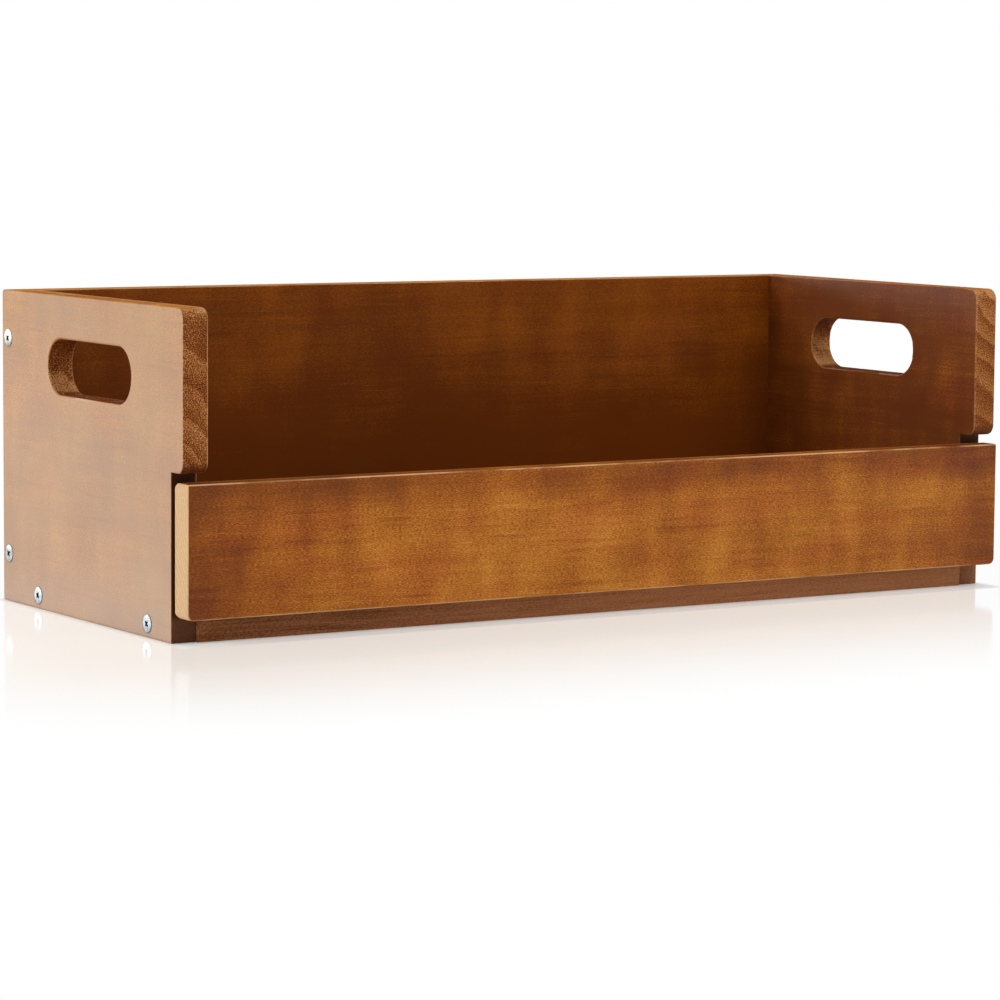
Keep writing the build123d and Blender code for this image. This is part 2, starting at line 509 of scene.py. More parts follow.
def mirror_piece(piece, name):
    """A copy with its own mesh, mirrored from left to right."""
    activate(piece)
    bpy.ops.object.duplicate()
    bpy.context.object.scale = (-1, 1, 1)
    mirrored = name_piece(name)
    pick(mirrored, "FACE", lambda face: True)
    bpy.ops.mesh.normals_make_consistent(inside=False)
    leave_edit()
    return mirrored


def remove_piece(piece):
    """Deletes a piece and its mesh."""
    mesh = piece.data
    bpy.data.objects.remove(piece)
    bpy.data.meshes.remove(mesh)


def pick(piece, kind, test):
    """In edit mode, selects the vertices, edges or faces that pass a test, and no others."""
    activate(piece)
    bpy.ops.object.mode_set(mode="EDIT")
    bpy.ops.mesh.select_mode(type=kind)
    bpy.ops.mesh.select_all(action="DESELECT")
    mesh = bmesh.from_edit_mesh(piece.data)
    for element in {"VERT": mesh.verts, "EDGE": mesh.edges, "FACE": mesh.faces}[kind]:
        element.select_set(test(element))
    mesh.select_flush_mode()
    bmesh.update_edit_mesh(piece.data)


def leave_edit():
    """Back to object mode."""
    bpy.ops.object.mode_set(mode="OBJECT")


def lies_at(element, places):
    """True if all corners of an edge or face have these coordinates, given as axis and value."""
    return all(abs(corner.co[axis] - value) < CLOSE for corner in element.verts for axis, value in places)


def lies_past(element, axis, value, way=1):
    """True if all corners of an edge or face lie past a place on an axis, one way along it."""
    return all(way * (corner.co[axis] - value) > -CLOSE for corner in element.verts)


def middle_of(node):
    """The middle of a solid's box."""
    low, high = SOLIDS[node]
    return [(low[axis] + high[axis]) / 2 for axis in (X, Y, Z)]


def round_edges(piece, test, radius, steps):
    """Rounds the edges that pass a test."""
    pick(piece, "EDGE", test)
    bpy.ops.mesh.bevel(offset=radius, segments=steps, affect="EDGES", clamp_overlap=False)
    leave_edit()


def round_edge_at(piece, places, radius, steps):
    """Rounds the edge that has these coordinates, given as axis and value."""
    round_edges(piece, lambda edge: lies_at(edge, places), radius, steps)


def cut(piece, cutter, operation="DIFFERENCE"):
    """Takes a cutter's shape out of a piece, or keeps what both share, and deletes the cutter."""
    activate(piece)
    bpy.ops.object.modifier_add(type="BOOLEAN")
    modifier = piece.modifiers[-1]
    modifier.operation = operation
    modifier.solver = "EXACT"
    modifier.object = cutter
    bpy.ops.object.modifier_apply(modifier=modifier.name)
    remove_piece(cutter)


def ease_edges(piece, width):
    """Rounds every sharp edge that is left."""
    activate(piece)
    bpy.ops.object.modifier_add(type="BEVEL")
    modifier = piece.modifiers[-1]
    modifier.width = width
    modifier.segments = ARRIS_STEPS
    modifier.limit_method = "ANGLE"
    modifier.angle_limit = SMOOTH_ANGLE
    modifier.use_clamp_overlap = False
    bpy.ops.object.modifier_apply(modifier=modifier.name)


def smooth(piece):
    """Smooth rounds beside flat faces."""
    activate(piece)
    bpy.ops.object.shade_smooth_by_angle(angle=SMOOTH_ANGLE)
    bpy.ops.object.modifier_add(type="WEIGHTED_NORMAL")
    modifier = piece.modifiers[-1]
    modifier.keep_sharp = True
    bpy.ops.object.modifier_apply(modifier=modifier.name)


def turn_up(name, profile, sides):
    """A turned piece along Z: one ring for each radius and height, drawn on from the first."""
    deselect_all()
    radius, height = profile[0]
    bpy.ops.mesh.primitive_circle_add(
        vertices=sides, radius=radius, fill_type="NGON", location=(0, 0, height))
    piece = name_piece(name)
    pick(piece, "EDGE", lambda edge: True)
    for next_radius, next_height in profile[1:]:
        bpy.ops.mesh.extrude_edges_move(TRANSFORM_OT_translate={"value": (0, 0, next_height - height)})
        factor = next_radius / radius
        bpy.ops.transform.resize(value=(factor, factor, 1), center_override=(0, 0, next_height))
        radius, height = next_radius, next_height
    bpy.ops.mesh.edge_face_add()
    bpy.ops.mesh.select_all(action="SELECT")
    bpy.ops.mesh.normals_make_consistent(inside=False)
    leave_edit()
    return piece


def finish_piece(piece, node, material):
    """Gives a piece its material, and puts it on the frame in its solid's stead."""
    piece.data.materials.clear()
    piece.data.materials.append(material)
    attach(piece, BODY)
    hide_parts(node)


def new_material(name):
    """An empty node material."""
    material = bpy.data.materials.get(name) or bpy.data.materials.new(name)
    return material, Web(material)


def surface(web, inputs, raw_inputs=None, raw_share=0.0):
    """The material's own shader, wired to its output, and a raw one that shows for a share of it."""
    shader = web.add("ShaderNodeBsdfPrincipled", {}, inputs)
    if raw_inputs:
        raw = web.add("ShaderNodeBsdfPrincipled", {}, raw_inputs)
        shader = web.add("ShaderNodeMixShader", {}, [raw_share, shader, raw])
    web.add("ShaderNodeOutputMaterial", {}, [shader])


class Grain:
    """Patterns of one piece, in millimetres along and across its fibres."""

    def __init__(self, web, along, shift=0):
        self.web = web
        self.along = along
        metres = web.add("ShaderNodeTexCoord", {}, output="Object")
        self.place = web.scaled(metres, [MILLIMETRES] * 3)
        self.spot = web.vector("ADD", self.place, [shift] * 3)
        self.facing = web.add("ShaderNodeTexCoord", {}, output="Normal")

    def mark(self, mark):
        """The noise of a mark, run long along the fibres and rise wide across them."""
        factors = [1 / mark.rise] * 3
        factors[self.along] = 1 / mark.run
        return self.web.noise(self.web.scaled(self.spot, factors), mark.detail, mark.roughness)

    def patch(self, patch):
        """1 where a patch is whole, 0 where there is none."""
        return self.web.between(self.mark(patch), patch.begins, patch.whole)

    def turned_to(self, axis):
        """How far the surface faces an axis, either way."""
        return self.web.part(self.facing, axis).math("ABSOLUTE")

    def rings(self, heart, growth):
        """Growth rings round a heart beside the board: slowly lighter, and quickly dark again."""
        across = [axis for axis in (X, Y, Z) if axis != self.along]
        legs = [self.web.part(self.place, axis) - offset for axis, offset in zip(across, heart)]
        radius = (legs[0] * legs[0] + legs[1] * legs[1]).math("SQRT")
        count = radius.math("LOGARITHM", growth) + RING_WOBBLE.share * self.mark(RING_WOBBLE)
        turn = count.math("FRACT")
        early_wood = 1 - LATE_WOOD
        return 2 * (turn - self.web.between(turn, early_wood, 1.0)) - early_wood


class BoardGrain(Grain):
    """The grain of one board, with masks that say where its faces, edges and ends lie."""

    def __init__(self, web, node):
        board = BOARDS[node]
        super().__init__(web, board.along, board.shift)
        self.board = board
        self.figure = {name: self.mark(mark) for name, mark in FIGURE.items()}
        self.fleck = self.mark(FLECK)
        self.speck = self.mark(SPECK)
        self.height = web.part(self.place, Z)
        self.upright = web.part(self.facing, Z)
        self.flat = self.turned_to(board.thick)
        self.edge = 1 - web.between(self.flat, *FACE_BAND)
        self.at_end = web.between(self.turned_to(board.along), *END_BAND)

        depth = web.part(self.place, board.thick)
        faces = [MILLIMETRES * corner[board.thick] for corner in SOLIDS[node]]
        middle = sum(faces) / 2
        inner_face = faces[1] if board.inward > 0 else faces[0]
        self.inner = web.between(board.inward * (depth - middle), *MIDDLE_BAND)

        crest = MILLIMETRES * SOLIDS[node][1].z
        at_crest = web.between(self.height, *(crest + offset for offset in CREST_BAND))
        self.top = self.edge * at_crest * web.between(self.upright, *TOP_BAND)
        self.ledge = self.edge * (1 - at_crest) * web.between(self.upright, *LEDGE_BAND)
        self.lip = self.top * web.between(depth, middle, inner_face)

        frontal = web.between(0 - web.part(self.facing, Y), *FRONT_BAND)
        self.low_front = frontal * (1 - web.between(self.height, *STEP_BAND))
        self.upper = 1 - self.low_front


def face_tone(grain, shadow):
    """The tone of a board's faces and long edges."""
    web, board = grain.web, grain.board
    marks = HAIR_LIGHT * grain.patch(HAIR) - STREAK_DARK * grain.patch(STREAK)
    for name, mark in FIGURE.items():
        marks = marks + mark.share * grain.figure[name]
    # Inner faces darken: partly a deeper stain, partly painted shade
    tone = PLAIN_TONE + board.figure_share * marks - INSIDE_STAIN_AND_SHADE * grain.inner * grain.flat
    # Painted light on the top edges, which face up
    tone = tone + board.top_share * grain.top - EDGE_DARK * grain.edge * (1 - grain.top)
    tone = tone - LEDGE_DARK * grain.ledge - shadow
    lit = web.between(tone, 0.0, PLAIN_TONE)
    fleck = grain.fleck * (FLECK_LEFT_IN_DARK + (1 - FLECK_LEFT_IN_DARK) * lit)
    return tone + board.figure_share * FLECK.share * fleck


def face_tint(grain, stain, shadow):
    """The colour of a board's faces and long edges."""
    web, board = grain.web, grain.board
    tint = web.ramp([
        (0.00, stain.dark), (0.30, stain.brown), (0.50, stain.middle), (0.70, stain.golden),
        (0.92, stain.bright),
    ], face_tone(grain, shadow))
    ruddy = RUDDY_SHARE * board.figure_share * grain.patch(RUDDY)
    tint = web.mix(ruddy, tint, stain.ruddy, "MULTIPLY")
    # The sides' outer faces: a lighter fawn stain with a painted sheen in it
    if board.fawn_share:
        fawn = board.fawn_share + FAWN_AND_SHEEN_CLOUD.share * grain.mark(FAWN_AND_SHEEN_CLOUD)
        tint = web.mix(fawn * grain.flat * (1 - grain.inner), tint, stain.fawn)
    return tint


def end_grain_tint(grain, stain, pale_tint):
    """The colour of a board's ends, with growth rings and fine specks."""
    web, board = grain.web, grain.board
    rings = grain.rings(board.heart, board.growth)
    tone = board.end_share + grain.speck * (SPECK.share + board.speck_share * grain.upper)
    # Painted shade low on the sides' front edges, and painted light and shade by how far end grain faces up
    tone = tone - LOW_END_SHADE * grain.low_front + END_UPRIGHT_LIGHT * grain.upright * grain.upper
    tone = tone + RING_SHARE * rings + END_CLOUD_SHARE * grain.figure["cloud"]
    tint = web.ramp([(0.2, stain.end_dark), (0.5, stain.end_brown), (0.8, stain.end_light)], tone)
    if pale_tint:
        cover = PALE_END_SHARE + PALE_RING_SHARE * rings + PALE_SPECK_SHARE * grain.speck
        tint = web.mix(cover, tint, pale_tint)
    return tint


def wear_share(grain, on_all_edges):
    """How far arrises and chips in ledges are rubbed through, and a painted highlight on the top's inner
    half.
    """
    web = grain.web
    rising, falling = (web.between(grain.flat, *band) for band in ARRIS_BANDS)
    wear_and_highlight = rising * (1 - falling) * grain.patch(RUBBED)
    if not on_all_edges:
        wear_and_highlight = wear_and_highlight * grain.inner
    # The inner half of the top edge gets a painted highlight
    wear_and_highlight = grain.board.wear_share * wear_and_highlight.math("MAXIMUM", LIP_HIGHLIGHT * grain.lip)
    return wear_and_highlight.math("MAXIMUM", CHIP_WEAR * grain.ledge * grain.patch(CHIP))


def stained_wood(node, stain, end_tint=None, front_tint=None, shade=0.0):
    """Stained wood under satin lacquer, with other tints for a board's ends and its low front edge.

    shade is how much darker the board is, or a function that gives this for each place. Several tints
    and tones of this wood are painted light and shade, as their comments say."""
    material, web = new_material(f"{node}_stained_wood")
    grain = BoardGrain(web, node)
    board, line = grain.board, grain.figure["line"]
    shadow = shade(grain) if callable(shade) else shade
    tint = web.mix(grain.at_end, face_tint(grain, stain, shadow), end_grain_tint(grain, stain, end_tint))
    if front_tint:
        cover = FRONT_PLAIN_SHARE + FRONT_FLECK_SHARE * grain.fleck + FRONT_LINE_SHARE * line - shadow
        tint = web.mix(board.front_share * grain.low_front * cover, tint, front_tint)
    if board.fawn_share:
        # On the sides, painted shade darkens the front edges in the gap behind the front board, from its foot
        # up to the step
        foot = MILLIMETRES * SOLIDS["front_board"][0].z
        gap = grain.low_front * web.between(grain.height, *(foot + offset for offset in FOOT_BAND))
        tint = web.mix(GAP_SHADE_SHARE * grain.at_end * gap, tint, stain.gap)
    # Wear on arrises and ledges, and a painted highlight along the top edges' inner half
    tint = web.mix(wear_share(grain, bool(end_tint)), tint, stain.worn_and_highlight)

    rough = LACQUER_ROUGH + LINE_ROUGH * line + CLOUD_ROUGH * grain.figure["cloud"]
    relief = FLECK_RELIEF * grain.fleck + LINE_RELIEF * line + grain.speck * grain.at_end
    bump = web.bump(*WOOD_BUMP, relief)
    lacquer = {
        "Base Color": tint, "Roughness": rough + EDGE_ROUGH * grain.edge, "Normal": bump,
        "IOR": LACQUER_IOR, "Specular IOR Level": board.gloss_share}
    raw = {"Base Color": tint, "Roughness": RAW_ROUGH, "Normal": bump, "Specular IOR Level": 0.0}
    raw_share = RAW_EDGE * grain.edge.math("MAXIMUM", grain.at_end)
    raw_share = raw_share.math("MAXIMUM", RAW_INSIDE * grain.inner)
    if board.fawn_share:
        raw_share = raw_share.math("MAXIMUM", RAW_SIDE * web.between(grain.height, *THIN_BAND))
    surface(web, lacquer, raw, raw_share)
    return material


def shade_towards(web, value, end, shade):
    """A shade that grows towards an end, and counts its places from there."""
    return shade.share * web.between(value, end - shade.begins, end - shade.whole)


def shade_leftwards(web, across, shade):
    """A shade that grows towards the left."""
    return shade.share * (1 - web.between(across, shade.whole, shade.begins))


def front_shade(grain):
    """The front board is darker near its ends, along its top and over its left half."""
    web = grain.web
    across = web.part(grain.place, X)
    end, top = (MILLIMETRES * SOLIDS["front_board"][1][axis] for axis in (X, Z))
    shadow = shade_towards(web, across.math("ABSOLUTE"), end, FRONT_ENDS)
    shadow = shadow + shade_towards(web, grain.height, top, FRONT_TOP)
    shadow = shadow + shade_leftwards(web, across, FRONT_LEFT_HALF) - FRONT_LIGHTER
    return shadow.math("MINIMUM", FRONT_MOST) + shade_towards(web, across, end, FRONT_RIGHT_END)


def bottom_painted_shade(grain):
    """The bottom panel's front edge is darker towards its left end, as painted shade."""
    across = grain.web.part(grain.place, X)
    return grain.turned_to(Y) * shade_leftwards(grain.web, across, BOTTOM_LEFT_SHADE)


def back_painted_shade(grain):
    """The back panel darkens downwards, as painted shade towards its foot."""
    foot, top = (MILLIMETRES * corner.z for corner in SOLIDS["back_panel"])
    lit = grain.web.between(grain.height, foot + BACK_FOOT_SHADE.whole, top - BACK_FOOT_SHADE.begins)
    return BACK_FOOT_SHADE.share * (1 - lit)


def bare_wood(name, stain):
    """Pale dowel wood with short flecks."""
    material, web = new_material(name)
    grain = Grain(web, Y)
    line = grain.mark(DOWEL_LINE)
    fleck = grain.mark(DOWEL_FLECK)
    tone = PLAIN_TONE + line + DOWEL_FLECK.share * fleck
    tint = web.ramp([(0.3, stain.dowel_dark), (0.5, stain.dowel_plain), (0.7, stain.dowel_light)], tone)
    bump = web.bump(*DOWEL_BUMP, line)
    rough = DOWEL_ROUGH + DOWEL_FLECK_ROUGH * fleck
    surface(web, {"Base Color": tint, "Roughness": rough, "Normal": bump})
    return material


def zinc_steel(name, plating):
    """Mottled zinc plating, with painted shade in the recess and round the head's rim."""
    material, web = new_material(name)
    grain = Grain(web, X)
    proud = web.part(grain.place, X).math("ABSOLUTE") - MILLIMETRES * SOLIDS["right_side"][1].x
    # Painted shade in the recess and round the head's rim
    head_shade = web.between(proud, *HEAD_SHADE_FLOOR) * (1 - web.between(proud, *HEAD_SHADE_RIM))
    cloud = grain.mark(ZINC_CLOUD)
    grit = grain.mark(ZINC_GRIT)
    tint = web.ramp([(0.3, plating.dark), (0.5, plating.plain), (0.75, plating.bright)], PLAIN_TONE + cloud)
    tint = web.mix(plating.head_shade_share * head_shade, tint, plating.head_shade)
    rough = ZINC_ROUGH + ZINC_CLOUD_ROUGH * cloud + ZINC_GRIT_ROUGH * grit
    bump = web.bump(*ZINC_BUMP, grit)
    surface(web, {"Base Color": tint, "Metallic": 1.0, "Roughness": rough, "Normal": bump})
    return material


class SideBoards(bpy.types.Operator):
    """The two side boards, with their stepped fronts and hand slots"""

    bl_idname = "disc_box.side_boards"
    bl_label = "Side boards"

    def execute(self, context):
        shape = context.scene.disc_box_boards
        stain = context.scene.disc_box_stain
        low, high = SOLIDS["left_side"]
        left = self.outline(shape, low, high)
        for height in (high.z, shape.step_height):
            round_edge_at(left, ((Y, low.y), (Z, height)), shape.nose_radius, ARC_STEPS)
        round_edge_at(left, ((Y, high.y), (Z, high.z)), shape.back_corner, ARRIS_STEPS)
        self.slot(shape, left, low, high)

        def on_nose(edge):
            inside = lies_at(edge, ((X, high.x),))
            forward = lies_past(edge, Y, low.y + shape.nose_radius, -1)
            return inside and forward and lies_past(edge, Z, shape.step_height)

        round_edges(left, on_nose, shape.inner_arris, ARRIS_STEPS)
        ease_edges(left, shape.arris)
        self.countersinks(context.scene.disc_box_screws, left)

        right = mirror_piece(left, "right_side_board")
        # The left side's low front edge gets painted shade, the right side's painted light
        for piece, node, tint in ((left, "left_side", stain.low_front_shade), (right, "right_side", stain.sole)):
            smooth(piece)
            wood = stained_wood(node, stain, front_tint=tint, shade=SIDE_DARK)
            finish_piece(piece, node, wood)
        return {"FINISHED"}

    def countersinks(self, shape, board):
        """A cone for the head of each screw of the left side."""
        low, high = SOLIDS[SCREWS[0]]
        mouth = (high.y - low.y) / 2 + shape.seat_room
        profile = [(shape.core_diameter / 2, -shape.head_depth), (mouth, 0), (mouth, shape.head_depth)]
        cone = turn_up("countersink", profile, SCREW_SIDES)
        for node in SCREWS:
            _, y, z = middle_of(node)
            head_x = SOLIDS[node][0].x
            if head_x < 0:
                place = (head_x + shape.head_proud, y, z)
                cut(board, copy_piece(cone, "countersink_cutter", place, (0, -math.pi / 2, 0)))
        remove_piece(cone)

    def outline(self, shape, low, high):
        """The stepped outline, drawn as a plane and drawn out to the board's thickness."""
        step_y = SOLIDS["front_board"][1].y + shape.stand_off
        deselect_all()
        middle = (low.x, (step_y + high.y) / 2, (low.z + high.z) / 2)
        bpy.ops.mesh.primitive_plane_add(size=1, location=middle, rotation=(0, math.pi / 2, 0))
        bpy.context.object.scale = (high.z - low.z, high.y - step_y, 1)
        board = name_piece("left_side_board")
        pick(board, "FACE", lambda face: True)
        bpy.ops.mesh.bisect(plane_co=(0, 0, shape.step_height), plane_no=(0, 0, 1))
        leave_edit()
        step_edge = ((Y, step_y),)
        pick(board, "EDGE", lambda edge: lies_at(edge, step_edge) and lies_past(edge, Z, shape.step_height))
        bpy.ops.mesh.extrude_region_move(TRANSFORM_OT_translate={"value": (0, low.y - step_y, 0)})
        bpy.ops.mesh.select_mode(type="FACE")
        bpy.ops.mesh.select_all(action="SELECT")
        bpy.ops.mesh.extrude_region_move(TRANSFORM_OT_translate={"value": (high.x - low.x, 0, 0)})
        bpy.ops.mesh.select_all(action="SELECT")
        bpy.ops.mesh.remove_doubles(threshold=CLOSE)
        bpy.ops.mesh.normals_make_consistent(inside=False)
        leave_edit()
        return board

    def slot(self, shape, board, low, high):
        """The hand slot: a round cutter, pulled apart to the slot's length."""
        thickness = high.x - low.x
        middle = Vector(((low.x + high.x) / 2, (low.y + high.y) / 2, high.z - shape.slot_drop))
        deselect_all()
        bpy.ops.mesh.primitive_cylinder_add(
            vertices=SLOT_SIDES, radius=shape.slot_height / 2, depth=2 * thickness, location=middle,
            rotation=(math.pi / SLOT_SIDES, math.pi / 2, 0),
        )
        cutter = name_piece("slot_cutter")
        half_run = (shape.slot_length - shape.slot_height) / 2
        for way in (1, -1):
            pick(cutter, "VERT", lambda corner: way * (corner.co.y - middle.y) > 0)
            bpy.ops.transform.translate(value=(0, way * half_run, 0))
            leave_edit()
        cut(board, cutter)

        half = Vector((0, shape.slot_length / 2, shape.slot_height / 2))

        def in_slot(edge):
            return all(
                lies_past(edge, axis, middle[axis] - way * half[axis], way)
                for axis in (Y, Z) for way in (1, -1))

        for face_x in (low.x, high.x):
            on_face = ((X, face_x),)
            round_edges(
                board, lambda edge: lies_at(edge, on_face) and in_slot(edge), shape.slot_rim, ARRIS_STEPS)


class Panels(bpy.types.Operator):
    """The back panel and the bottom panel, with their long edges eased"""

    bl_idname = "disc_box.panels"
    bl_label = "Panels"

    def execute(self, context):
        shape = context.scene.disc_box_boards
        stain = context.scene.disc_box_stain
        low, high = SOLIDS["back_panel"]
        back = add_block("back_board", low, high)
        round_edge_at(back, ((Y, high.y), (Z, high.z)), shape.back_corner, ARRIS_STEPS)
        for y, z in ((low.y, high.z), (low.y, low.z), (high.y, low.z)):
            round_edge_at(back, ((Y, y), (Z, z)), shape.arris, ARRIS_STEPS)
        smooth(back)
        wood = stained_wood("back_panel", stain, shade=back_painted_shade)
        finish_piece(back, "back_panel", wood)

        low, high = SOLIDS["bottom_panel"]
        bottom = add_block("bottom_board", low, high)
        for height in (low.z, high.z):
            round_edge_at(bottom, ((Y, low.y), (Z, height)), shape.arris, ARRIS_STEPS)
        smooth(bottom)
        wood = stained_wood("bottom_panel", stain, front_tint=stain.sole, shade=bottom_painted_shade)
        finish_piece(bottom, "bottom_panel", wood)
        return {"FINISHED"}


class FrontBoard(bpy.types.Operator):
    """The front board, well rounded along its back and at its lower ends"""

    bl_idname = "disc_box.front_board"
    bl_label = "Front board"

    def execute(self, context):
        shape = context.scene.disc_box_boards
        stain = context.scene.disc_box_stain
        low, high = SOLIDS["front_board"]
        spare = shape.front_foot
        board = add_block("front_lip_board", low - Vector((spare, 0, 0)), high + Vector((spare, 0, 0)))
        for height in (low.z, high.z):
            round_edge_at(board, ((Y, high.y), (Z, height)), shape.front_back, ARC_STEPS)
        view = add_block("front_view", low - Vector((0, spare, CLOSE)), high + Vector((0, spare, spare)))
        for end in (low.x, high.x):
            round_edge_at(view, ((X, end), (Z, low.z - CLOSE)), shape.front_foot, ARC_STEPS)
        cut(board, view, "INTERSECT")
        ease_edges(board, shape.front_arris)
        smooth(board)
        wood = stained_wood("front_board", stain, end_tint=stain.pale_end, shade=front_shade)
        finish_piece(board, "front_board", wood)
        return {"FINISHED"}


class Screws(bpy.types.Operator):
    """The countersunk screws, each turned in at its own angle"""

    bl_idname = "disc_box.screws"
    bl_label = "Screws"

    # The first screw's turn and what each next one adds, in degrees; the share of its width that a
    # recess keeps at its floor, along an arm and across it; the threaded share of the shank; and how
    # many times thinner the tip is than the core
    FIRST_SPIN = 38
    NEXT_SPIN = 5
    RECESS_TAPER = (0.35, 0.6, 1)
    THREADED_SHARE = 0.8
    TIP_THINNER = 8

    def execute(self, context):
        shape = context.scene.disc_box_screws
        low, high = SOLIDS[SCREWS[0]]
        screw = self.head_and_shank(shape, (high.y - low.y) / 2, high.x - low.x)
        self.recess(shape, screw)
        smooth(screw)
        self.thread(shape, screw, high.x - low.x)
        zinc = zinc_steel("zinc_plating", context.scene.disc_box_plating)
        for count, node in enumerate(SCREWS):
            low, high = SOLIDS[node]
            hand = -1 if low.x < 0 else 1
            face_x = low.x + shape.head_proud if hand < 0 else high.x - shape.head_proud
            spin = math.radians(self.FIRST_SPIN + self.NEXT_SPIN * count)
            spun = copy_piece(screw, "spun_screw", turn=(0, 0, spin))
            _, y, z = middle_of(node)
            piece = copy_piece(spun, f"{node}_turned", (face_x, y, z), (0, hand * math.pi / 2, 0))
            remove_piece(spun)
            finish_piece(piece, node, zinc)
        remove_piece(screw)
        return {"FINISHED"}

    def head_and_shank(self, shape, radius, whole):
        """Head up, the rim of the head on the XY plane, with a low round crown."""
        profile = []
        for step in range(1, ARC_STEPS + 1):
            reach = step / ARC_STEPS
            profile.append((radius * reach, shape.head_proud * (1 - reach ** 2)))
        core = shape.core_diameter / 2
        tip = shape.head_proud - whole
        shank = [(core, -shape.head_depth), (core, tip + shape.tip_length), (core / self.TIP_THINNER, tip)]
        return turn_up("screw", profile + shank, SCREW_SIDES)

    def recess(self, shape, screw):
        """The cross recess: two tapered bars, each cut into the crown."""
        for turn in (0, math.pi / 2):
            half = Vector((shape.recess_length / 2, shape.recess_width / 2, 0))
            floor = Vector((0, 0, shape.head_proud - shape.recess_depth))
            top = Vector((0, 0, shape.head_proud + shape.recess_depth))
            bar = add_block("recess_bar", floor - half, top + half)
            pick(bar, "FACE", lambda face: lies_at(face, ((Z, floor.z),)))
            bpy.ops.transform.resize(value=self.RECESS_TAPER, center_override=floor)
            leave_edit()
            turned = copy_piece(bar, "turned_bar", turn=(0, 0, turn))
            remove_piece(bar)
            cut(screw, turned)

    def thread(self, shape, screw, whole):
        """The thread: a three-sided bar wound round the core and joined to it."""
        rise = (shape.thread_diameter - shape.core_diameter) / 2
        run = whole - shape.head_proud - shape.tip_length
        turns = int(run * self.THREADED_SHARE / shape.thread_pitch)
        deselect_all()
        bpy.ops.mesh.primitive_circle_add(
            vertices=3, radius=rise, fill_type="NOTHING",
            location=(shape.core_diameter / 2, 0, -run - shape.thread_pitch / 2),
            rotation=(math.pi / 2, math.pi / 2, 0),
        )
        ridge = name_piece("thread_ridge")
        bpy.ops.object.modifier_add(type="SCREW")
        modifier = ridge.modifiers[-1]
        modifier.screw_offset = shape.thread_pitch
        modifier.iterations = turns
        modifier.steps = THREAD_STEPS
        modifier.render_steps = THREAD_STEPS
        modifier.use_merge_vertices = True
        bpy.ops.object.modifier_apply(modifier=modifier.name)
        pick(ridge, "FACE", lambda face: True)
        bpy.ops.mesh.fill_holes(sides=3)
        bpy.ops.mesh.select_all(action="SELECT")
        bpy.ops.mesh.normals_make_consistent(inside=False)
        leave_edit()
        bpy.ops.object.shade_smooth_by_angle(angle=SMOOTH_ANGLE)
        screw.select_set(True)
        bpy.context.view_layer.objects.active = screw
        bpy.ops.object.join()


class Dowels(bpy.types.Operator):
    """The fluted dowels that carry the front board"""

    bl_idname = "disc_box.dowels"
    bl_label = "Dowels"

    # How many times the radius is larger than the chamfer, and the share of it that the flutes leave
    CHAMFER_PART = 4
    FLUTE_SHARE = 0.95

    def execute(self, context):
        low, high = SOLIDS[DOWELS[0]]
        radius, whole = (high.x - low.x) / 2, high.y - low.y
        chamfer = radius / self.CHAMFER_PART
        end = radius - chamfer
        profile = [(end, 0), (radius, chamfer), (radius, whole - chamfer), (end, whole)]
        dowel = turn_up("dowel", profile, DOWEL_SIDES)
        sector = 2 * math.pi / DOWEL_SIDES

        def in_flute(corner):
            return round(math.atan2(corner.co.y, corner.co.x) / sector) % 2 == 1

        pick(dowel, "VERT", in_flute)
        bpy.ops.transform.resize(
            value=(self.FLUTE_SHARE, self.FLUTE_SHARE, 1), center_override=(0, 0, 0))
        leave_edit()
        smooth(dowel)
        wood = bare_wood("bare_dowel_wood", context.scene.disc_box_stain)
        for node in DOWELS:
            x, _, z = middle_of(node)
            place = (x, SOLIDS[node][1].y, z)
            piece = copy_piece(dowel, f"{node}_fluted", place, (math.pi / 2, 0, 0))
            finish_piece(piece, node, wood)
        remove_piece(dowel)
        return {"FINISHED"}


